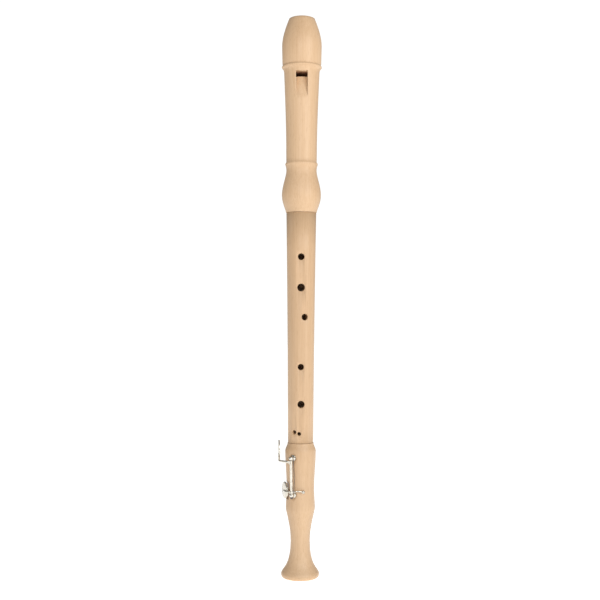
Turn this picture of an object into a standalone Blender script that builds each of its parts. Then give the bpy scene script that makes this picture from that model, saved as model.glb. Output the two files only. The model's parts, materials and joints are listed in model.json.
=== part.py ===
"""A tenor recorder in three maple joints with one key for its lowest hole, in metres, beak up."""
import math

import bmesh
import bpy
from mathutils import Matrix, Vector

# Clearance between pieces that touch, and the smoothness of round pieces
GAP = 0.0003
TURN_STEPS = 32
SMALL_STEPS = 16
HOLE_STEPS = 16

# Visible lengths of the three joints
FOOT_LENGTH = 0.1563
MIDDLE_LENGTH = 0.2670
HEAD_LENGTH = 0.2261

# Foot: outer radii and the heights that they lie at
FOOT_LIP_RADIUS = 0.0151
FOOT_SHOULDER_RADIUS = 0.0179
FOOT_SHOULDER_DROP = 0.0093
FOOT_WAIST_RADIUS = 0.0161
FOOT_WAIST_HEIGHT = 0.1030
FOOT_RING_RADIUS = 0.0171
FOOT_RING_HEIGHT = 0.0805
FOOT_NECK_RADIUS = 0.0112
FOOT_NECK_HEIGHT = 0.0420
FOOT_RIM_RADIUS = 0.0223
FOOT_RIM_HEIGHT = 0.0039
FOOT_BASE_RADIUS = 0.0198
FOOT_DISH_RADIUS = 0.0140
FOOT_DISH_DEPTH = 0.0020

# Middle: outer radii at its top, along its taper and at its bottom
MIDDLE_TOP_RADIUS = 0.0174
MIDDLE_UPPER_RADIUS = 0.0159
MIDDLE_LOWER_RADIUS = 0.01525
MIDDLE_BOTTOM_RADIUS = 0.0148

# Head: outer radii, and heights above its lower end
HEAD_END_RADIUS = 0.0179
BULGE_RADIUS = 0.02275
BULGE_HEIGHT = 0.0200
HEAD_NECK_RADIUS = 0.0176
HEAD_NECK_HEIGHT = 0.0491
SMALL_BEAD_RADIUS = 0.0190
SMALL_BEAD_HEIGHT = 0.0562
HEAD_SHAFT_RADIUS = 0.0178
CONE_TOP_RADIUS = 0.0205
BEAD_RADIUS = 0.0233
BEAD_HEIGHT = 0.1690
BEAD_HALF = 0.0017
GROOVE_RADIUS = 0.0221
CAP_RADIUS = 0.0231
CAP_FOOT_RADIUS = 0.0226
CROWN_RADIUS = 0.0150
CAP_WIDEST_DROP = 0.0325

# Bores, tenons and sockets
HEAD_BORE_RADIUS = 0.01175
MIDDLE_BORE_TOP = 0.0114
MIDDLE_BORE_BOTTOM = 0.0079
FOOT_BORE_TOP = 0.0078
FOOT_BORE_BOTTOM = 0.0070
UPPER_TENON_RADIUS = 0.0144
UPPER_TENON_LENGTH = 0.0300
LOWER_TENON_RADIUS = 0.0119
LOWER_TENON_LENGTH = 0.0245
SOCKET_PLAY = 0.0006
CORK_DEPTH = 0.0010
CORK_MARGIN = 0.0040

# Windway, window and labium
WINDWAY_WIDTH = 0.0136
WINDWAY_ARCH = 0.0140
FLOOR_LEVEL = 0.0109
ROOF_EXIT_LEVEL = 0.0123
ROOF_ENTRY_LEVEL = 0.0129
LABIUM_LEVEL = 0.0121
LABIUM_BELOW_TOP = 0.0698
CUT_UP = 0.0053
RAMP_LENGTH = 0.0250
BEAK_START_BELOW_TOP = 0.0470
BEAK_TIP_BACK = 0.0015
BEAK_HOLLOW = 0.0050

# Tone holes: azimuth in degrees from the front, height, radius
TONE_HOLES = (
    ("hole_1", 0.0, 0.3720, 0.0038),
    ("hole_2", 0.0, 0.3366, 0.0044),
    ("hole_3", 16.5, 0.3026, 0.0037),
    ("hole_4", 0.0, 0.2450, 0.0036),
    ("hole_5", 1.5, 0.2019, 0.0041),
    ("hole_6_left", -30.5, 0.1696, 0.0024),
    ("hole_6_right", -7.0, 0.1680, 0.0021),
    ("thumb_hole", 180.0, 0.3900, 0.0038),
)
HOLE_SOFTENING = 0.0006

# Key: hinge along the foot, tone hole and pad beside it
HINGE_AZIMUTH = -30.0
HINGE_HEIGHT = 0.0041
UPPER_POST_DROP = 0.0160
HINGE_SPAN = 0.0425
BALL_RADIUS = 0.0026
BALL_HALF = 0.0022
NECK_RADIUS = 0.0019
FLANGE_RADIUS = 0.0034
FLANGE_THICKNESS = 0.0010
SHANK_RADIUS = 0.0016
SHANK_LENGTH = 0.0028
SCREW_RADIUS = 0.0008
SCREW_HEAD_RADIUS = 0.0017
SCREW_HEAD_HEIGHT = 0.0012
TUBE_RADIUS = 0.0016
SADDLE_RADIUS = 0.0027
SADDLE_LENGTH = 0.0026
PAD_AZIMUTH = -78.0
PAD_ABOVE_POST = 0.0038
KEY_HOLE_RADIUS = 0.0042
SEAT_DEPTH = 0.0015
CUP_RADIUS = 0.00975
CUP_DEPTH = 0.0020
CUP_WALL = 0.0006
PAD_PROUD = 0.0010
PAD_OPENING = 6.5
ARM_RADIUS = 0.0008
TOUCH_ARM_RADIUS = 0.0012
TOUCH_AZIMUTH = -80.0
TOUCH_DISTANCE = 0.0254
TOUCH_STEM_HEIGHT = 0.1353
TOUCH_PLATE_BASE = 0.1412
TOUCH_PLATE_LENGTH = 0.0184
TOUCH_HALF_WIDTH = 0.0058
TOUCH_THICKNESS = 0.0015
TAIL_AZIMUTH = 10.7
TAIL_RADIUS = 0.0008
TAIL_ARCH = 0.0030
BUMPER_RADIUS = 0.0015
BUMPER_HEIGHT = 0.0012
SPRING_RADIUS = 0.0003

# Heights that follow from the lengths
FOOT_TOP = FOOT_LENGTH
MIDDLE_BOTTOM = FOOT_TOP + GAP
MIDDLE_TOP = MIDDLE_BOTTOM + MIDDLE_LENGTH
HEAD_BOTTOM = MIDDLE_TOP + GAP
TOP = HEAD_BOTTOM + HEAD_LENGTH
LABIUM_Z = TOP - LABIUM_BELOW_TOP
WINDOW_TOP_Z = LABIUM_Z + CUT_UP
UPPER_POST_Z = FOOT_TOP - UPPER_POST_DROP
LOWER_POST_Z = UPPER_POST_Z - HINGE_SPAN
PAD_Z = LOWER_POST_Z + PAD_ABOVE_POST
TUBE_END = BALL_HALF + GAP

for old in list(bpy.data.objects):
    bpy.data.objects.remove(old, do_unlink=True)

PARTS = bpy.data.collections.new("recorder")
CUTTERS = bpy.data.collections.new("cutters")
bpy.context.scene.collection.children.link(PARTS)
bpy.context.scene.collection.children.link(CUTTERS)


def finish(name, colour, roughness, metallic):
    """A Principled material of one colour."""
    material = bpy.data.materials.new(name)
    material.use_nodes = True
    shader = material.node_tree.nodes["Principled BSDF"]
    shader.inputs["Base Color"].default_value = (*colour, 1)
    shader.inputs["Roughness"].default_value = roughness
    shader.inputs["Metallic"].default_value = metallic
    return material


MAPLE = finish("maple", (0.60, 0.43, 0.27), 0.42, 0.0)
CEDAR = finish("cedar", (0.40, 0.20, 0.11), 0.6, 0.0)
CORK = finish("cork", (0.46, 0.30, 0.17), 0.85, 0.0)
NICKEL_SILVER = finish("nickel_silver", (0.66, 0.62, 0.54), 0.22, 1.0)
STEEL = finish("spring_steel", (0.16, 0.15, 0.17), 0.3, 1.0)
LEATHER = finish("pad_leather", (0.62, 0.50, 0.36), 0.75, 0.0)


def add(name, mesh, material=None, cutter=False):
    """Puts a mesh in its collection, a cutter as a wire guide."""
    made = bpy.data.objects.new(name, mesh)
    if cutter:
        CUTTERS.objects.link(made)
        made.hide_render = True
        made.display_type = "WIRE"
    else:
        PARTS.objects.link(made)
        mesh.materials.clear()
        mesh.materials.append(material)
    return made


def settle(made, material=None):
    """Bakes an object's modifiers and place into its mesh, with smooth round sides."""
    bpy.context.view_layer.update()
    graph = bpy.context.evaluated_depsgraph_get()
    mesh = bpy.data.meshes.new_from_object(made.evaluated_get(graph), depsgraph=graph)
    mesh.transform(made.matrix_world)
    work = bmesh.new()
    work.from_mesh(mesh)
    bmesh.ops.remove_doubles(work, verts=work.verts, dist=0.000001)
    work.to_mesh(mesh)
    work.free()
    mesh.shade_smooth()
    mesh.set_sharp_from_angle(angle=math.radians(32))
    made.modifiers.clear()
    made.matrix_world = Matrix.Identity(4)
    if made.type == "MESH":
        made.data = mesh
        if material:
            mesh.materials.clear()
            mesh.materials.append(material)
        return made
    name = made.name
    bpy.data.objects.remove(made, do_unlink=True)
    return add(name, mesh, material, cutter=material is None)


def bezier(start, leave, arrive, end, count):
    """Points after start on a cubic curve, the last at end."""
    points = []
    for i in range(1, count + 1):
        t = i / count
        weights = ((1 - t) ** 3, 3 * (1 - t) ** 2 * t, 3 * (1 - t) * t**2, t**3)
        corners = (start, leave, arrive, end)
        points.append(tuple(sum(w * c[k] for w, c in zip(weights, corners)) for k in range(len(start))))
    return points


def swell(start, end, leave, arrive, count):
    """An outline curve, upright at both ends, over shares of its own height."""
    fall = end[1] - start[1]
    return bezier(start, (start[0], start[1] + leave * fall), (end[0], end[1] - arrive * fall), end, count)


def radius_at(outline, height):
    """The outer radius of an outline, listed from the top, at a height."""
    for (r_up, z_up), (r_low, z_low) in zip(outline, outline[1:]):
        if z_low <= height <= z_up and z_up > z_low:
            return r_low + (r_up - r_low) * (height - z_low) / (z_up - z_low)
    return outline[-1][0]


def turned(name, profile, material=None, closed=True, steps=TURN_STEPS, cutter=False):
    """A profile of radius and height, down its outer side, turned about Z."""
    mesh = bpy.data.meshes.new(name)
    edges = [(i, i + 1) for i in range(len(profile) - 1)]
    if closed:
        edges.append((len(profile) - 1, 0))
    mesh.from_pydata([(radius, 0, height) for radius, height in profile], edges, [])
    made = add(name, mesh, material, cutter)
    screw = made.modifiers.new("turn", "SCREW")
    screw.steps = steps
    screw.render_steps = steps
    screw.use_merge_vertices = True
    screw.merge_threshold = 0.000001
    screw.use_smooth_shade = True
    return made


def loft(name, sections, material=None, cutter=True):
    """A solid through loops of equal length, each listed the same way round."""
    work = bmesh.new()
    rings = [[work.verts.new(point) for point in section] for section in sections]
    for lower, upper in zip(rings, rings[1:]):
        for i in range(len(lower)):
            j = (i + 1) % len(lower)
            work.faces.new((lower[i], lower[j], upper[j], upper[i]))
    work.faces.new(list(reversed(rings[0])))
    work.faces.new(rings[-1])
    bmesh.ops.recalc_face_normals(work, faces=work.faces)
    mesh = bpy.data.meshes.new(name)
    work.to_mesh(mesh)
    work.free()
    return add(name, mesh, material, cutter)


def box(name, low, high, cutter=True):
    """A box between two corners."""
    work = bmesh.new()
    bmesh.ops.create_cube(work, size=1)
    size = Vector(high) - Vector(low)
    middle = (Vector(high) + Vector(low)) / 2
    bmesh.ops.transform(work, matrix=Matrix.Translation(middle) @ Matrix.Diagonal((*size, 1)), verts=work.verts)
    mesh = bpy.data.meshes.new(name)
    work.to_mesh(mesh)
    work.free()
    return add(name, mesh, None, cutter)


def frame(origin, along, side):
    """A matrix whose Z is along and whose X is side, squared to it."""
    z_axis = Vector(along).normalized()
    x_axis = (Vector(side) - Vector(side).dot(z_axis) * z_axis).normalized()
    y_axis = z_axis.cross(x_axis)
    turn = Matrix((x_axis, y_axis, z_axis)).transposed().to_4x4()
    return Matrix.Translation(origin) @ turn


def rod(name, start, end, radius, material=None, cutter=True, steps=SMALL_STEPS):
    """A straight round rod between two points."""
    start, end = Vector(start), Vector(end)
    work = bmesh.new()
    length = (end - start).length
    bmesh.ops.create_cone(work, cap_ends=True, segments=steps, radius1=radius, radius2=radius, depth=length)
    side = Vector((0, 0, 1)) if abs((end - start).normalized().z) < 0.9 else Vector((1, 0, 0))
    bmesh.ops.transform(work, matrix=frame((start + end) / 2, end - start, side), verts=work.verts)
    mesh = bpy.data.meshes.new(name)
    work.to_mesh(mesh)
    work.free()
    return add(name, mesh, material, cutter)


def wire(name, points, radius, material=None, root_radius=None):
    """A round wire through points, as a mesh with welded ends."""
    curve = bpy.data.curves.new(name, "CURVE")
    curve.dimensions = "3D"
    curve.bevel_depth = radius
    curve.bevel_resolution = 2
    curve.use_fill_caps = True
    spline = curve.splines.new("POLY")
    spline.points.add(len(points) - 1)
    for index, (target, point) in enumerate(zip(spline.points, points)):
        target.co = (*point, 1)
        if root_radius:
            share = 1 - index / (len(points) - 1)
            target.radius = 1 + share * (root_radius / radius - 1)
    made = bpy.data.objects.new(name, curve)
    (PARTS if material else CUTTERS).objects.link(made)
    return settle(made, material)


def apply_boolean(target, tools, operation):
    """Cuts or joins tools, one after another, with the exact solver."""
    for tool in tools:
        change = target.modifiers.new(tool.name, "BOOLEAN")
        change.operation = operation
        change.solver = "EXACT"
        change.object = tool


def outward(azimuth):
    """The level direction at an angle in degrees from the front, positive to the right."""
    angle = math.radians(azimuth)
    return Vector((math.sin(angle), -math.cos(angle), 0))


def foot_outline():
    """The foot's outer side, from its lip down to its base."""
    lip = (FOOT_LIP_RADIUS, FOOT_TOP)
    shoulder = (FOOT_SHOULDER_RADIUS, FOOT_TOP - FOOT_SHOULDER_DROP)
    waist = (FOOT_WAIST_RADIUS, FOOT_WAIST_HEIGHT)
    ring = (FOOT_RING_RADIUS, FOOT_RING_HEIGHT)
    neck = (FOOT_NECK_RADIUS, FOOT_NECK_HEIGHT)
    rim = (FOOT_RIM_RADIUS, FOOT_RIM_HEIGHT)
    points = [lip]
    points += swell(lip, shoulder, 0.33, 0.33, 5)
    points += swell(shoulder, waist, 0.33, 0.4, 5)
    points += swell(waist, ring, 0.4, 0.2, 4)
    points += swell(ring, neck, 0.10, 0.47, 8)
    points += swell(neck, rim, 0.79, 0.13, 9)
    inset = FOOT_RIM_RADIUS - FOOT_BASE_RADIUS
    for i in range(1, 5):
        angle = math.radians(90 * i / 4)
        points.append((FOOT_BASE_RADIUS + inset * math.cos(angle), FOOT_RIM_HEIGHT * (1 - math.sin(angle))))
    return points


def head_outline():
    """The head's outer side, from the crown down to its lower end."""
    base = HEAD_BOTTOM
    bead = base + BEAD_HEIGHT
    small = base + SMALL_BEAD_HEIGHT
    widest = (CAP_RADIUS, TOP - CAP_WIDEST_DROP)
    crown = (CROWN_RADIUS - 0.0012, TOP)
    shoulder = (CROWN_RADIUS, TOP - 0.0006)
    points = [crown, shoulder]
    points += bezier(
        shoulder, (CROWN_RADIUS + 0.0033, TOP - 0.0088), (CAP_RADIUS, widest[1] + 0.0120), widest, 9
    )
    points += [(CAP_FOOT_RADIUS, bead + 2.1 * BEAD_HALF), (GROOVE_RADIUS, bead + 1.5 * BEAD_HALF)]
    for i in range(-3, 4):
        angle = math.radians(25 * i)
        swing = BEAD_RADIUS - BEAD_HALF + BEAD_HALF * math.cos(angle)
        points.append((swing, bead - BEAD_HALF * math.sin(angle)))
    cove = (CONE_TOP_RADIUS, bead - 5 * BEAD_HALF)
    points += bezier(points[-1], (points[-1][0] - 0.001, bead - 2 * BEAD_HALF), (cove[0], bead - 3 * BEAD_HALF), cove, 3)
    shaft = (HEAD_SHAFT_RADIUS, small + 0.0070)
    reach = cove[1] - shaft[1]
    points += bezier(
        cove, (cove[0] - 0.0013, cove[1] - 0.33 * reach), (shaft[0], shaft[1] + 0.37 * reach), shaft, 6
    )
    points += [(HEAD_SHAFT_RADIUS - 0.0001, small + 0.0026), (SMALL_BEAD_RADIUS - 0.0007, small + 0.0016)]
    points += [(SMALL_BEAD_RADIUS, small + 0.0004), (SMALL_BEAD_RADIUS - 0.0002, small - 0.0008)]
    neck = (HEAD_NECK_RADIUS, base + HEAD_NECK_HEIGHT)
    bulge = (BULGE_RADIUS, base + BULGE_HEIGHT)
    points += bezier(points[-1], (SMALL_BEAD_RADIUS - 0.0010, small - 0.0025), (neck[0], neck[1] + 0.002), neck, 3)
    points += swell(neck, bulge, 0.25, 0.40, 8)
    points += swell(bulge, (HEAD_END_RADIUS, base), 0.45, 0.15, 6)
    return points


def middle_side():
    """The middle's outer side between its shoulders, from the top."""
    start = (MIDDLE_TOP_RADIUS, MIDDLE_TOP)
    end = (MIDDLE_BOTTOM_RADIUS, MIDDLE_BOTTOM)
    high = (MIDDLE_UPPER_RADIUS, MIDDLE_TOP - 0.33 * MIDDLE_LENGTH)
    low = (MIDDLE_LOWER_RADIUS, MIDDLE_TOP - 0.62 * MIDDLE_LENGTH)
    return [start] + bezier(start, high, low, end, 6)


FOOT_SIDE = foot_outline()
HEAD_SIDE = head_outline()
MIDDLE_SIDE = middle_side()
UPPER_SOCKET = UPPER_TENON_RADIUS + SOCKET_PLAY
LOWER_SOCKET = LOWER_TENON_RADIUS + SOCKET_PLAY


def tenon_side(radius, top, bottom, foot_margin):
    """A tenon's outer side with the groove that its cork lies in, from the top."""
    groove = radius - CORK_DEPTH
    upper, lower = top - CORK_MARGIN, bottom + foot_margin
    return [(radius, top), (radius, upper), (groove, upper), (groove, lower), (radius, lower)]


def hole_cutter(name, azimuth, height, radius, surface, reach=0.0):
    """A tone hole from inside the bore to past the surface, with a softened rim."""
    profile = [
        (0, surface + 0.004),
        (radius + 1.6 * HOLE_SOFTENING, surface + 0.004),
        (radius + 1.6 * HOLE_SOFTENING, surface + 0.4 * HOLE_SOFTENING),
        (radius + 0.6 * HOLE_SOFTENING, surface - 0.3 * HOLE_SOFTENING),
        (radius + 0.15 * HOLE_SOFTENING, surface - 1.0 * HOLE_SOFTENING),
        (radius, surface - 2.0 * HOLE_SOFTENING),
        (radius * 1.04, reach),
        (0, reach),
    ]
    made = turned(name + "_cutter", profile, closed=False, steps=HOLE_STEPS, cutter=True)
    made.matrix_world = frame((0, 0, height), outward(azimuth), (0, 0, 1))
    return made


def arch_row(level, height, width, arch):
    """Points across an arched level in front of the axis, from left to right."""
    row = []
    for i in range(-4, 5):
        x = width / 2 * i / 4
        row.append((x, -(level - arch + math.sqrt(arch**2 - x**2)), height))
    return row


def flat_row(level, height, width):
    """Points across a flat level in front of the axis, from right to left."""
    return [(width / 2 * -i / 4, -level, height) for i in range(-4, 5)]


# Beak cut, shared by the head and the block
back_radius = radius_at(HEAD_SIDE, TOP - BEAK_START_BELOW_TOP)
run_y = back_radius - BEAK_TIP_BACK
chord = math.hypot(run_y, BEAK_START_BELOW_TOP)
BEAK_RADIUS = ((chord / 2) ** 2 + BEAK_HOLLOW**2) / (2 * BEAK_HOLLOW)
beak_out = Vector((0, BEAK_START_BELOW_TOP, run_y)) / chord
beak_centre = Vector((0, (back_radius + BEAK_TIP_BACK) / 2, TOP - BEAK_START_BELOW_TOP / 2))
beak_centre += beak_out * (BEAK_RADIUS - BEAK_HOLLOW)
beak_cutter = rod(
    "beak_cutter", beak_centre - Vector((0.04, 0, 0)), beak_centre + Vector((0.04, 0, 0)), BEAK_RADIUS, steps=96
)

# Head joint
head_profile = HEAD_SIDE + [
    (UPPER_SOCKET, HEAD_BOTTOM),
    (UPPER_SOCKET, HEAD_BOTTOM + UPPER_TENON_LENGTH + GAP),
    (HEAD_BORE_RADIUS, HEAD_BOTTOM + UPPER_TENON_LENGTH + GAP),
    (HEAD_BORE_RADIUS, TOP),
]
head = turned("head_joint", head_profile, MAPLE)
DEEP = 0.0080
FAR = 0.0320
windway_cutter = loft("windway_cutter", [
    arch_row(ROOF_EXIT_LEVEL, WINDOW_TOP_Z - 0.001, WINDWAY_WIDTH, WINDWAY_ARCH)
    + flat_row(DEEP, WINDOW_TOP_Z - 0.001, WINDWAY_WIDTH),
    arch_row(ROOF_ENTRY_LEVEL, TOP + 0.001, WINDWAY_WIDTH, WINDWAY_ARCH)
    + flat_row(DEEP, TOP + 0.001, WINDWAY_WIDTH),
])
outer_at_ramp = radius_at(HEAD_SIDE, LABIUM_Z - RAMP_LENGTH)
OVERRUN = 1.3
ramp_end_level = LABIUM_LEVEL + (outer_at_ramp - LABIUM_LEVEL) * OVERRUN
far_row = lambda height: flat_row(FAR, height, WINDWAY_WIDTH)
window_cutter = loft("window_cutter", [
    arch_row(DEEP, WINDOW_TOP_Z, WINDWAY_WIDTH, WINDWAY_ARCH) + far_row(WINDOW_TOP_Z),
    arch_row(DEEP, LABIUM_Z, WINDWAY_WIDTH, WINDWAY_ARCH) + far_row(LABIUM_Z),
    arch_row(LABIUM_LEVEL, LABIUM_Z - GAP, WINDWAY_WIDTH, WINDWAY_ARCH) + far_row(LABIUM_Z - GAP),
    arch_row(ramp_end_level, LABIUM_Z - RAMP_LENGTH * OVERRUN, WINDWAY_WIDTH, 0.06)
    + far_row(LABIUM_Z - RAMP_LENGTH * OVERRUN),
])
apply_boolean(head, [windway_cutter, window_cutter, beak_cutter], "DIFFERENCE")

# Block with the windway floor
BLOCK_RADIUS = HEAD_BORE_RADIUS - GAP
block = turned("block", [(0, TOP), (BLOCK_RADIUS, TOP), (BLOCK_RADIUS, WINDOW_TOP_Z), (0, WINDOW_TOP_Z)], CEDAR,
               closed=False)
floor_cutter = loft("floor_cutter", [
    arch_row(FLOOR_LEVEL - 0.0012, WINDOW_TOP_Z - 0.001, WINDWAY_WIDTH, WINDWAY_ARCH)
    + far_row(WINDOW_TOP_Z - 0.001),
    arch_row(FLOOR_LEVEL, WINDOW_TOP_Z + 0.0008, WINDWAY_WIDTH, WINDWAY_ARCH) + far_row(WINDOW_TOP_Z + 0.0008),
    arch_row(FLOOR_LEVEL, TOP + 0.001, WINDWAY_WIDTH, WINDWAY_ARCH) + far_row(TOP + 0.001),
])
apply_boolean(block, [floor_cutter, beak_cutter], "DIFFERENCE")

# Middle joint with its tenons and holes
middle_profile = tenon_side(UPPER_TENON_RADIUS, MIDDLE_TOP + UPPER_TENON_LENGTH, MIDDLE_TOP, CORK_MARGIN)
middle_profile += [(UPPER_TENON_RADIUS, MIDDLE_TOP)] + MIDDLE_SIDE
middle_profile += [(LOWER_TENON_RADIUS, MIDDLE_BOTTOM)]
middle_profile += tenon_side(LOWER_TENON_RADIUS, MIDDLE_BOTTOM, MIDDLE_BOTTOM - LOWER_TENON_LENGTH, CORK_MARGIN)[1:]
middle_profile += [
    (LOWER_TENON_RADIUS, MIDDLE_BOTTOM - LOWER_TENON_LENGTH),
    (MIDDLE_BORE_BOTTOM, MIDDLE_BOTTOM - LOWER_TENON_LENGTH),
    (MIDDLE_BORE_TOP, MIDDLE_TOP + UPPER_TENON_LENGTH),
]
middle = turned("middle_joint", middle_profile, MAPLE)
hole_cutters = []
for hole, azimuth, height, radius in TONE_HOLES:
    hole_cutters.append(hole_cutter(hole, azimuth, height, radius, radius_at(MIDDLE_SIDE, height), 0.003))
apply_boolean(middle, hole_cutters, "DIFFERENCE")


def cork_band(name, tenon_radius, top, bottom):
    """A cork band that lies in the tenon's groove and stands proud of it."""
    inner = tenon_radius - CORK_DEPTH + GAP
    outer = tenon_radius + SOCKET_PLAY - GAP
    high, low = top - CORK_MARGIN - GAP, bottom + CORK_MARGIN + GAP
    return turned(name, [(outer, high), (outer, low), (inner, low), (inner, high)], CORK)


cork_band("upper_tenon_cork", UPPER_TENON_RADIUS, MIDDLE_TOP + UPPER_TENON_LENGTH, MIDDLE_TOP)
cork_band("lower_tenon_cork", LOWER_TENON_RADIUS, MIDDLE_BOTTOM, MIDDLE_BOTTOM - LOWER_TENON_LENGTH)

# Foot joint
SOCKET_FLOOR = FOOT_TOP - LOWER_TENON_LENGTH - GAP
foot_profile = FOOT_SIDE + [
    (FOOT_DISH_RADIUS, 0),
    (FOOT_BORE_BOTTOM, FOOT_DISH_DEPTH),
    (FOOT_BORE_TOP, SOCKET_FLOOR),
    (LOWER_SOCKET, SOCKET_FLOOR),
    (LOWER_SOCKET, FOOT_TOP),
]
foot = turned("foot_joint", foot_profile, MAPLE)
pad_out = outward(PAD_AZIMUTH)
seat_level = radius_at(FOOT_SIDE, PAD_Z) - SEAT_DEPTH
pad_foot = pad_out * seat_level + Vector((0, 0, PAD_Z))
foot_cutters = [
    rod("seat_cutter", pad_foot, pad_foot + pad_out * 0.01, CUP_RADIUS + 2 * GAP, steps=32),
    rod("key_hole_cutter", pad_out * 0.002 + Vector((0, 0, PAD_Z)), pad_foot + pad_out * 0.001,
        KEY_HOLE_RADIUS, steps=HOLE_STEPS),
]
hinge_out = outward(HINGE_AZIMUTH)
FLANGE_SINK = FLANGE_THICKNESS - 0.0001
for label, height in (("upper", UPPER_POST_Z), ("lower", LOWER_POST_Z)):
    level = radius_at(FOOT_SIDE, height)
    lift = Vector((0, 0, height))
    spot = level - FLANGE_SINK - GAP
    foot_cutters.append(
        rod(label + "_spot_cutter", hinge_out * spot + lift, hinge_out * (level + 0.004) + lift, FLANGE_RADIUS + GAP)
    )
    foot_cutters.append(
        rod(label + "_shank_cutter", hinge_out * (spot - SHANK_LENGTH) + lift, hinge_out * (spot + 0.001) + lift,
            SHANK_RADIUS + GAP)
    )
apply_boolean(foot, foot_cutters, "DIFFERENCE")

# Hinge frame: Z along the hinge from the lower ball, X away from the wood, Y to the right
lower_ball = hinge_out * (radius_at(FOOT_SIDE, LOWER_POST_Z) + HINGE_HEIGHT) + Vector((0, 0, LOWER_POST_Z))
upper_ball = hinge_out * (radius_at(FOOT_SIDE, UPPER_POST_Z) + HINGE_HEIGHT) + Vector((0, 0, UPPER_POST_Z))
HINGE = frame(lower_ball, upper_ball - lower_ball, hinge_out)
HINGE_LENGTH = (upper_ball - lower_ball).length
OPEN_TURN = HINGE @ Matrix.Rotation(math.radians(PAD_OPENING), 4, "Z") @ HINGE.inverted()
SHUT_TURN = OPEN_TURN.inverted()

# Needle spring, from the neck of the upper post to beside the tail's root
spring_start = (-(BALL_RADIUS + HINGE_HEIGHT) / 2, 0.0009, HINGE_LENGTH + 0.0024)
spring_tip = (0.0017, 0.0034, 0.0037)
spring_points = [spring_start] + bezier(
    spring_start, (spring_start[0], 0.0013, 0.66 * HINGE_LENGTH), (0.0, 0.0054, 0.36 * HINGE_LENGTH), spring_tip, 8
)
spring_points = [HINGE @ Vector(point) for point in spring_points]
wire("needle_spring", spring_points, SPRING_RADIUS, STEEL)
spring_line = (spring_points[1] - spring_points[0]).normalized()

# Posts: a bored ball on a neck, a flange let into the wood and a shank
for label, ball in (("upper", upper_ball), ("lower", lower_ball)):
    rim_angle = math.asin(BALL_HALF / BALL_RADIUS)
    ball_profile = []
    for i in range(-4, 5):
        angle = -rim_angle * i / 4
        ball_profile.append((BALL_RADIUS * math.cos(angle), BALL_RADIUS * math.sin(angle)))
    bore = SCREW_RADIUS + GAP
    ball_profile += [(bore, -BALL_HALF), (bore, BALL_HALF)]
    post = turned(label + "_post", ball_profile, NICKEL_SILVER, steps=24)
    post.matrix_world = HINGE @ Matrix.Translation((0, 0, HINGE_LENGTH if label == "upper" else 0))
    settle(post, NICKEL_SILVER)
    flange_top = -HINGE_HEIGHT + 0.0001
    flange_low = flange_top - FLANGE_THICKNESS
    stem_profile = [
        (0, -(bore + 0.0004)),
        (NECK_RADIUS, -(bore + 0.0004)),
        (NECK_RADIUS, flange_top),
        (FLANGE_RADIUS, flange_top),
        (FLANGE_RADIUS, flange_low),
        (SHANK_RADIUS, flange_low),
        (SHANK_RADIUS, flange_low - SHANK_LENGTH + GAP),
        (0, flange_low - SHANK_LENGTH + GAP),
    ]
    stem = turned(label + "_stem", stem_profile, closed=False, steps=SMALL_STEPS, cutter=True)
    stem.matrix_world = frame(ball, hinge_out, (0, 0, 1))
    apply_boolean(post, [stem], "UNION")
    if label == "upper":
        spring_bore = rod("spring_bore", spring_points[0] - spring_line * 0.003, spring_points[0] + spring_line * 0.008,
                          SPRING_RADIUS + GAP, steps=12)
        apply_boolean(post, [spring_bore], "DIFFERENCE")

# Hinge screw with its slotted head under the lower ball
head_top = -BALL_HALF - GAP
screw_profile = [
    (0, HINGE_LENGTH + BALL_HALF - GAP),
    (SCREW_RADIUS, HINGE_LENGTH + BALL_HALF - GAP),
    (SCREW_RADIUS, head_top),
    (SCREW_HEAD_RADIUS, head_top),
    (SCREW_HEAD_RADIUS, head_top - 0.7 * SCREW_HEAD_HEIGHT),
    (0.75 * SCREW_HEAD_RADIUS, head_top - SCREW_HEAD_HEIGHT),
    (0, head_top - SCREW_HEAD_HEIGHT),
]
screw = turned("hinge_screw", screw_profile, STEEL, closed=False, steps=SMALL_STEPS)
screw.matrix_world = HINGE
slot = box("slot_cutter", (-0.004, -0.00025, head_top - SCREW_HEAD_HEIGHT - 0.001),
           (0.004, 0.00025, head_top - 0.5 * SCREW_HEAD_HEIGHT))
slot.matrix_world = HINGE
apply_boolean(screw, [slot], "DIFFERENCE")

# Key pieces are made shut, then turned open about the hinge
tube_bore = SCREW_RADIUS + GAP
tube_top = HINGE_LENGTH - TUBE_END
tube = turned("key_tube", [(TUBE_RADIUS, tube_top), (TUBE_RADIUS, TUBE_END), (tube_bore, TUBE_END),
                           (tube_bore, tube_top)], NICKEL_SILVER, steps=24)
tube.matrix_world = HINGE


def saddle(name, low, high, side):
    """Half a ring that a lever sits on the tube with; side is -1 for the left half."""
    inner = TUBE_RADIUS + GAP
    profile = [(SADDLE_RADIUS, high), (SADDLE_RADIUS, low), (inner, low), (inner, high)]
    made = turned(name, profile, NICKEL_SILVER, steps=24)
    made.matrix_world = HINGE
    start, end = (-0.00015, 0.006) if side < 0 else (-0.006, 0.00015)
    half = box(name + "_half_cutter", (-0.006, start, low - 0.002), (0.006, end, high + 0.002))
    half.matrix_world = HINGE
    apply_boolean(made, [half], "DIFFERENCE")
    return settle(made, NICKEL_SILVER)


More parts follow.
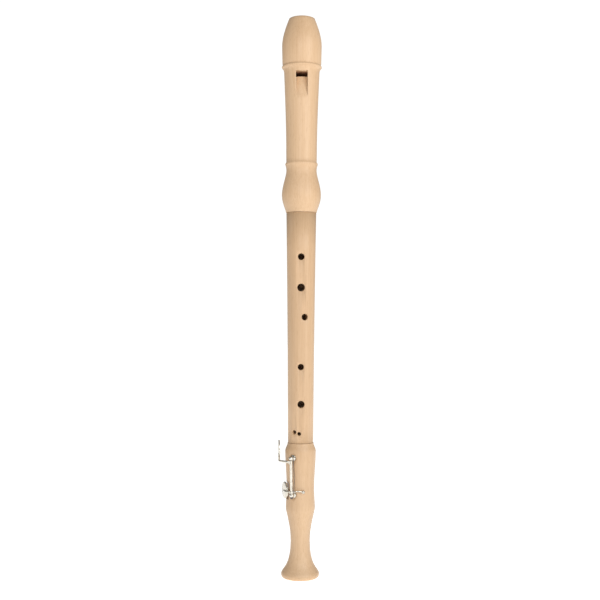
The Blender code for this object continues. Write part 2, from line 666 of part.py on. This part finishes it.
# Touch lever: saddle, arm, stem and finger plate
touch_middle = HINGE_LENGTH - TUBE_END - SADDLE_LENGTH * 0.75
touch = saddle("touch_lever", touch_middle - SADDLE_LENGTH * 0.7, touch_middle + SADDLE_LENGTH * 0.7, -1)
touch_out = outward(TOUCH_AZIMUTH)
stem_foot = touch_out * TOUCH_DISTANCE + Vector((0, 0, TOUCH_STEM_HEIGHT))
root = HINGE @ Vector((-0.0006, -0.0025, touch_middle))
reach = (stem_foot - root).normalized()
bend = 0.0026
arm_points = [root, root.lerp(stem_foot, 0.5), stem_foot - reach * bend]
for i in range(1, 6):
    t = i / 5
    before, after = stem_foot - reach * bend, stem_foot + Vector((0, 0, bend))
    arm_points.append((1 - t) ** 2 * before + 2 * t * (1 - t) * stem_foot + t**2 * after)
arm_points.append(touch_out * TOUCH_DISTANCE + Vector((0, 0, TOUCH_PLATE_BASE + 0.003)))
touch_arm = wire("touch_arm", arm_points, TOUCH_ARM_RADIUS, root_radius=1.2 * TOUCH_ARM_RADIUS)
plate_curve = bpy.data.curves.new("touch_plate", "CURVE")
plate_curve.dimensions = "2D"
plate_curve.fill_mode = "BOTH"
plate_curve.extrude = TOUCH_THICKNESS / 2 - 0.0003
plate_curve.bevel_depth = 0.0003
plate_curve.bevel_resolution = 1
leaf = plate_curve.splines.new("POLY")
PLATE_POINTS = 10
side_points = []
for i in range(1, PLATE_POINTS):
    share = (1 - math.cos(math.pi * i / PLATE_POINTS)) / 2
    side_points.append((TOUCH_HALF_WIDTH * math.sin(math.pi * share**0.75) ** 0.75, share * TOUCH_PLATE_LENGTH))
leaf_loop = [(0, 0)] + side_points + [(0, TOUCH_PLATE_LENGTH)] + [(-x, y) for x, y in reversed(side_points)]
leaf.points.add(len(leaf_loop) - 1)
for target, (x, y) in zip(leaf.points, leaf_loop):
    target.co = (x, y, 0, 1)
leaf.use_cyclic_u = True
plate = bpy.data.objects.new("touch_plate", plate_curve)
CUTTERS.objects.link(plate)
plate.matrix_world = frame(touch_out * TOUCH_DISTANCE + Vector((0, 0, TOUCH_PLATE_BASE)), touch_out,
                           Vector((0, 0, 1)).cross(touch_out))
plate = settle(plate)
for loose in (touch_arm, plate):
    loose.data.transform(SHUT_TURN)
apply_boolean(touch, [touch_arm, plate], "UNION")

# Pad cup and pad, on the line of the tone hole
cup_low = GAP + PAD_PROUD
cup_top = cup_low + CUP_DEPTH
cup_profile = [
    (0, cup_top),
    (CUP_RADIUS - 0.0010, cup_top),
    (CUP_RADIUS - 0.0003, cup_top - 0.0003),
    (CUP_RADIUS, cup_top - 0.0010),
    (CUP_RADIUS, cup_low),
    (CUP_RADIUS - CUP_WALL, cup_low),
    (CUP_RADIUS - CUP_WALL, cup_top - CUP_WALL),
    (0, cup_top - CUP_WALL),
]
cup_frame = frame(pad_foot, pad_out, (0, 0, 1))
cup = turned("pad_cup", cup_profile, NICKEL_SILVER, closed=False, steps=32)
cup.matrix_world = cup_frame
pad_radius = CUP_RADIUS - CUP_WALL - GAP
pad_top = cup_top - CUP_WALL - GAP
pad_profile = [(0, pad_top), (pad_radius, pad_top), (pad_radius, GAP + 0.0005), (pad_radius - 0.0005, GAP), (0, GAP)]
pad = turned("key_pad", pad_profile, LEATHER, closed=False, steps=32)
pad.matrix_world = cup_frame

# Pad arm: from its saddle round the cup's rim and over its back
saddle_low = TUBE_END
saddle_high = saddle_low + SADDLE_LENGTH
pad_arm = saddle("pad_arm", saddle_low, saddle_high, -1)
toward = (hinge_out - hinge_out.dot(pad_out) * pad_out).normalized()
back_level = cup_top + GAP + ARM_RADIUS
over_centre = pad_foot + pad_out * back_level
over_rim = over_centre + toward * 0.6 * CUP_RADIUS
past_rim = over_centre + toward * (CUP_RADIUS + 0.0012) + pad_out * 0.0008
arm_root = HINGE @ Vector((0.0004, -0.0026, (saddle_low + saddle_high) / 2))
pad_points = [arm_root] + [
    Vector(point) for point in bezier(tuple(arm_root), tuple(past_rim), tuple(past_rim), tuple(over_rim), 6)
] + [over_centre]
pad_rod = wire("pad_rod", pad_points, ARM_RADIUS, root_radius=1.15 * ARM_RADIUS)
apply_boolean(pad_arm, [pad_rod], "UNION")

# Stop tail on the other side, with its foot and cork bumper over the wood
tail = saddle("stop_tail", saddle_low, saddle_high, 1)
tail_out = outward(TAIL_AZIMUTH)
wood_level = radius_at(FOOT_SIDE, PAD_Z)
FOOT_DISC = 0.0010
disc_low = wood_level + 2 * GAP + BUMPER_HEIGHT
lift = Vector((0, 0, PAD_Z))
tail_end = tail_out * (disc_low + FOOT_DISC / 2) + lift
tail_root = HINGE @ Vector((0.0, 0.0025, (saddle_low + saddle_high) / 2))
between = outward((TAIL_AZIMUTH + HINGE_AZIMUTH) / 2)
arch_point = between * (wood_level + TAIL_ARCH + TAIL_RADIUS) + lift + Vector((0, 0, 0.0016))
tail_root_open = OPEN_TURN @ tail_root
tail_points = [tail_root] + [
    SHUT_TURN @ Vector(point)
    for point in bezier(tuple(tail_root_open), tuple(arch_point), tuple(arch_point), tuple(tail_end), 7)
]
tail_bar = wire("tail_bar", tail_points, TAIL_RADIUS)
tail_disc = rod("tail_disc", tail_out * disc_low + lift, tail_out * (disc_low + FOOT_DISC) + lift, BUMPER_RADIUS + 0.0002)
tail_disc.data.transform(SHUT_TURN)
apply_boolean(tail, [tail_bar, tail_disc], "UNION")
bumper = rod("tail_bumper", tail_out * (wood_level + GAP) + lift, tail_out * (wood_level + GAP + BUMPER_HEIGHT) + lift,
             BUMPER_RADIUS, CORK, cutter=False)
bumper.data.transform(SHUT_TURN)

# Bake the pieces, then hang the key on an empty that lies on its hinge
for piece in list(PARTS.objects):
    settle(piece, piece.data.materials[0])
pivot = bpy.data.objects.new("key_pivot", None)
PARTS.objects.link(pivot)
pivot.matrix_world = HINGE @ Matrix.Rotation(math.radians(PAD_OPENING), 4, "Z")
for piece in (tube, touch, cup, pad, pad_arm, tail, bumper):
    piece.data.transform(HINGE.inverted())
    piece.parent = pivot
bpy.context.view_layer.update()
print("hinge", [round(v, 6) for v in lower_ball], [round(v, 6) for v in HINGE.col[2][:3]])
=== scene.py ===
"""Looks of the tenor recorder: satin maple, cedar, cork, nickel silver, steel and leather."""

import json
import math

import bmesh
import bpy
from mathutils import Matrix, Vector

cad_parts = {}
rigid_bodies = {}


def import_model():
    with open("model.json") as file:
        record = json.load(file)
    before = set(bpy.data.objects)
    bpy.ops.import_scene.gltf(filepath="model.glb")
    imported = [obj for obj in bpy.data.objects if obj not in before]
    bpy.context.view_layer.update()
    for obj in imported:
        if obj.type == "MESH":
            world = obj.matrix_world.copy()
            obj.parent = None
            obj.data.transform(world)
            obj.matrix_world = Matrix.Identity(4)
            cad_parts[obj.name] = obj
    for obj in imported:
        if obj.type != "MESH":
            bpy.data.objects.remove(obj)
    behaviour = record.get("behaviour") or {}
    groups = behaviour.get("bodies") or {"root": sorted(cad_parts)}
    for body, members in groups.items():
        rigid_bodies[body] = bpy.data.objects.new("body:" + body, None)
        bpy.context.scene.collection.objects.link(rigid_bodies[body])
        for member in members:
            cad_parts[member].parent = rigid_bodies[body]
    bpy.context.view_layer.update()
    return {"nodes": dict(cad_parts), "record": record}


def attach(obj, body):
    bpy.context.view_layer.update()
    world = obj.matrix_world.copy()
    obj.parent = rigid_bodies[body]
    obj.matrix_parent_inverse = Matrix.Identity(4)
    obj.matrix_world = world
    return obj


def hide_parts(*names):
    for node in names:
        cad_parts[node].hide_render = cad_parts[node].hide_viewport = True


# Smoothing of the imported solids
WELD = 0.000002
SHARP_FROM = math.radians(34)

# Wood: how finely each layer of noise is drawn across and along the bore, per metre
FIGURE_SCALE = (26, 26, 4)
GRAIN_SCALE = (700, 700, 14)
FLECK_SCALE = (1500, 1500, 130)
PORE_SCALE = (900, 900, 25)
GRAIN_SHARE = 0.30
FLECK_SHARE = 0.30
PORE_DEPTH = 0.0002
PORE_STRENGTH = 0.10
WOOD_COAT = 0.12
WOOD_COAT_ROUGHNESS = 0.35

# Metal and soft materials
CLOUD_SCALE = (240, 240, 240)
SOFT_DEPTH = 0.0003
WHITE = (1, 1, 1)

# Studio: lights, floor and backdrop
LIGHT_AIM = (0, 0, 0.33)
FRONT_LIGHT_AIM = (0, 0, 0.36)
FLOOR_HALF = 6
FLOOR_BELOW_FOOT = 0.0005
FLOOR_COLOUR = (0.85, 0.85, 0.85, 1)
FLOOR_GLOW = 0.80
ROOM_LIGHT = 0.38
BACKDROP = 1.05

# Camera, level and square to the front, with the photograph's slight lean
CAMERA_PLACE = (-0.0012, -1.150, 0.3222)
CAMERA_LEAN = math.radians(-0.2)
LENS_MM = 59.2
SENSOR_MM = 36
NEAREST = 0.01


def blank(name, roughness, metallic=0.0):
    """A material with one Principled shader, and its tree and shader."""
    material = bpy.data.materials.new(name)
    material.use_nodes = True
    tree = material.node_tree
    shader = tree.nodes["Principled BSDF"]
    shader.inputs["Roughness"].default_value = roughness
    shader.inputs["Metallic"].default_value = metallic
    return material, tree, shader


def ramp(tree, source, low, high):
    """A colour ramp on a value, between two stops of a place and a colour."""
    made = tree.nodes.new("ShaderNodeValToRGB")
    for element, (place, colour) in zip(made.color_ramp.elements, (low, high)):
        element.position = place
        element.color = (*colour, 1)
    tree.links.new(source, made.inputs["Fac"])
    return made.outputs["Color"]


def stretched(tree, scale, detail, rough):
    """Noise in row coordinates, drawn out along the bore where the scale is smaller there."""
    place = tree.nodes.new("ShaderNodeTexCoord")
    mapping = tree.nodes.new("ShaderNodeMapping")
    mapping.inputs["Scale"].default_value = scale
    noise = tree.nodes.new("ShaderNodeTexNoise")
    noise.inputs["Scale"].default_value = 1.0
    noise.inputs["Detail"].default_value = detail
    noise.inputs["Roughness"].default_value = rough
    tree.links.new(place.outputs["Object"], mapping.inputs["Vector"])
    tree.links.new(mapping.outputs["Vector"], noise.inputs["Vector"])
    return noise.outputs["Fac"]


def multiplied(tree, first, second, share):
    """One colour darkened by a share of another."""
    mix = tree.nodes.new("ShaderNodeMix")
    mix.data_type = "RGBA"
    mix.blend_type = "MULTIPLY"
    mix.inputs[0].default_value = share
    tree.links.new(first, mix.inputs[6])
    tree.links.new(second, mix.inputs[7])
    return mix.outputs[2]


def bumped(tree, shader, height, strength, distance):
    """A small bump from a value."""
    bump = tree.nodes.new("ShaderNodeBump")
    bump.inputs["Strength"].default_value = strength
    bump.inputs["Distance"].default_value = distance
    tree.links.new(height, bump.inputs["Height"])
    tree.links.new(bump.outputs["Normal"], shader.inputs["Normal"])


def wood(name, light, mid, fleck_dark, streak, roughness):
    """Turned wood: broad figure, fine upright streaks and short dark flecks."""
    material, tree, shader = blank(name, roughness)
    figure = ramp(tree, stretched(tree, FIGURE_SCALE, 3, 0.5), (0.34, mid), (0.64, light))
    grain = ramp(tree, stretched(tree, GRAIN_SCALE, 4, 0.6), (0.38, streak), (0.60, WHITE))
    fleck = ramp(tree, stretched(tree, FLECK_SCALE, 2, 0.5), (0.30, fleck_dark), (0.40, WHITE))
    streaked = multiplied(tree, figure, grain, GRAIN_SHARE)
    flecked = multiplied(tree, streaked, fleck, FLECK_SHARE)
    tree.links.new(flecked, shader.inputs["Base Color"])
    shader.inputs["Coat Weight"].default_value = WOOD_COAT
    shader.inputs["Coat Roughness"].default_value = WOOD_COAT_ROUGHNESS
    bumped(tree, shader, stretched(tree, PORE_SCALE, 3, 0.6), PORE_STRENGTH, PORE_DEPTH)
    return material


def metal(name, colour, worn, roughness):
    """Polished metal with faint clouding in its colour and its roughness."""
    material, tree, shader = blank(name, roughness, 1.0)
    cloud = stretched(tree, CLOUD_SCALE, 4, 0.6)
    tree.links.new(ramp(tree, cloud, (0.35, worn), (0.6, colour)), shader.inputs["Base Color"])
    dull = (roughness * 1.6,) * 3
    bright = (roughness * 0.8,) * 3
    tree.links.new(ramp(tree, cloud, (0.3, dull), (0.7, bright)), shader.inputs["Roughness"])
    return material


def grainy(name, light, dark, size, roughness, strength):
    """A fine-grained soft material, such as cork or leather."""
    material, tree, shader = blank(name, roughness)
    spots = stretched(tree, (size, size, size), 5, 0.65)
    tree.links.new(ramp(tree, spots, (0.36, dark), (0.6, light)), shader.inputs["Base Color"])
    bumped(tree, shader, spots, strength, SOFT_DEPTH)
    return material


def maple():
    return wood(
        "maple_look",
        light=(0.655, 0.452, 0.275),
        mid=(0.575, 0.382, 0.222),
        fleck_dark=(0.62, 0.5, 0.4),
        streak=(0.80, 0.72, 0.62),
        roughness=0.46,
    )


def cedar():
    return wood(
        "cedar_look",
        light=(0.45, 0.22, 0.12),
        mid=(0.33, 0.15, 0.08),
        fleck_dark=(0.5, 0.4, 0.35),
        streak=(0.6, 0.5, 0.45),
        roughness=0.6,
    )


def dress(name, solid, material, body):
    """A welded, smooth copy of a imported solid, which stands for it in the looks."""
    mesh = solid.data.copy()
    work = bmesh.new()
    work.from_mesh(mesh)
    bmesh.ops.remove_doubles(work, verts=work.verts, dist=WELD)
    work.to_mesh(mesh)
    work.free()
    mesh.materials.clear()
    mesh.materials.append(material)
    mesh.shade_smooth()
    mesh.set_sharp_from_angle(angle=SHARP_FROM)
    look = bpy.data.objects.new(name + "_look", mesh)
    bpy.context.scene.collection.objects.link(look)
    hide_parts(name)
    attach(look, body)


def area(name, place, target, size, power, colour=WHITE):
    """A square light that faces its target."""
    data = bpy.data.lights.new(name, "AREA")
    data.size = size
    data.energy = power
    data.color = colour
    lamp = bpy.data.objects.new(name, data)
    bpy.context.scene.collection.objects.link(lamp)
    lamp.location = place
    lamp.rotation_euler = (Vector(target) - Vector(place)).to_track_quat("-Z", "Y").to_euler()


def pale_floor():
    """A matt floor that glows a little, so that it is as white as the backdrop."""
    half = FLOOR_HALF
    corners = [(-half, -half, 0), (half, -half, 0), (half, half, 0), (-half, half, 0)]
    mesh = bpy.data.meshes.new("floor")
    mesh.from_pydata(corners, [], [(0, 1, 2, 3)])
    floor = bpy.data.objects.new("floor", mesh)
    bpy.context.scene.collection.objects.link(floor)
    floor.location = (0, 0, -FLOOR_BELOW_FOOT)
    material, _, shader = blank("floor_look", 0.9)
    shader.inputs["Base Color"].default_value = FLOOR_COLOUR
    shader.inputs["Specular IOR Level"].default_value = 0.0
    shader.inputs["Emission Color"].default_value = (1, 1, 1, 1)
    shader.inputs["Emission Strength"].default_value = FLOOR_GLOW
    mesh.materials.append(material)


def studio():
    """A dim white room, with a white backdrop that only the camera sees."""
    world = bpy.data.worlds.new("studio")
    bpy.context.scene.world = world
    world.use_nodes = True
    tree = world.node_tree
    room = tree.nodes["Background"]
    room.inputs["Color"].default_value = (1, 1, 1, 1)
    room.inputs["Strength"].default_value = ROOM_LIGHT
    backdrop = tree.nodes.new("ShaderNodeBackground")
    backdrop.inputs["Color"].default_value = (1, 1, 1, 1)
    backdrop.inputs["Strength"].default_value = BACKDROP
    ray = tree.nodes.new("ShaderNodeLightPath")
    choose = tree.nodes.new("ShaderNodeMixShader")
    tree.links.new(ray.outputs["Is Camera Ray"], choose.inputs[0])
    tree.links.new(room.outputs[0], choose.inputs[1])
    tree.links.new(backdrop.outputs[0], choose.inputs[2])
    tree.links.new(choose.outputs[0], tree.nodes["World Output"].inputs["Surface"])


def front_camera():
    """The camera at the photograph's place."""
    data = bpy.data.cameras.new("camera")
    data.sensor_width = SENSOR_MM
    data.lens = LENS_MM
    data.clip_start = NEAREST
    camera = bpy.data.objects.new("camera", data)
    bpy.context.scene.collection.objects.link(camera)
    camera.location = CAMERA_PLACE
    camera.rotation_euler = (math.radians(90), CAMERA_LEAN, 0)
    return camera


for old in list(bpy.data.objects):
    bpy.data.objects.remove(old, do_unlink=True)
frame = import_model()

looks = {
    "maple": maple(),
    "cedar": cedar(),
    "cork": grainy("cork_look", (0.50, 0.33, 0.19), (0.26, 0.15, 0.08), 900, 0.85, 0.5),
    "nickel_silver": metal("nickel_silver_look", (0.72, 0.68, 0.60), (0.60, 0.56, 0.48), 0.16),
    "spring_steel": metal("spring_steel_look", (0.20, 0.19, 0.21), (0.10, 0.10, 0.12), 0.28),
    "pad_leather": grainy("pad_leather_look", (0.66, 0.54, 0.40), (0.50, 0.38, 0.26), 1500, 0.7, 0.3),
}
slots = {part["node"]: part["material_slot"] for part in frame["record"]["subparts"]}
bodies = {name: body for body, names in frame["record"]["behaviour"]["bodies"].items() for name in names}
for name, solid in sorted(frame["nodes"].items()):
    dress(name, solid, looks[slots[name]], bodies[name])

area("main_light", (0.95, -1.15, 0.80), LIGHT_AIM, size=0.9, power=11, colour=(1.0, 0.99, 0.97))
area("front_light", (-0.22, -1.35, 0.85), FRONT_LIGHT_AIM, size=0.5, power=4.2)
pale_floor()
studio()
scene = bpy.context.scene
scene.camera = front_camera()
scene.view_settings.view_transform = "Standard"
scene.view_settings.look = "None"
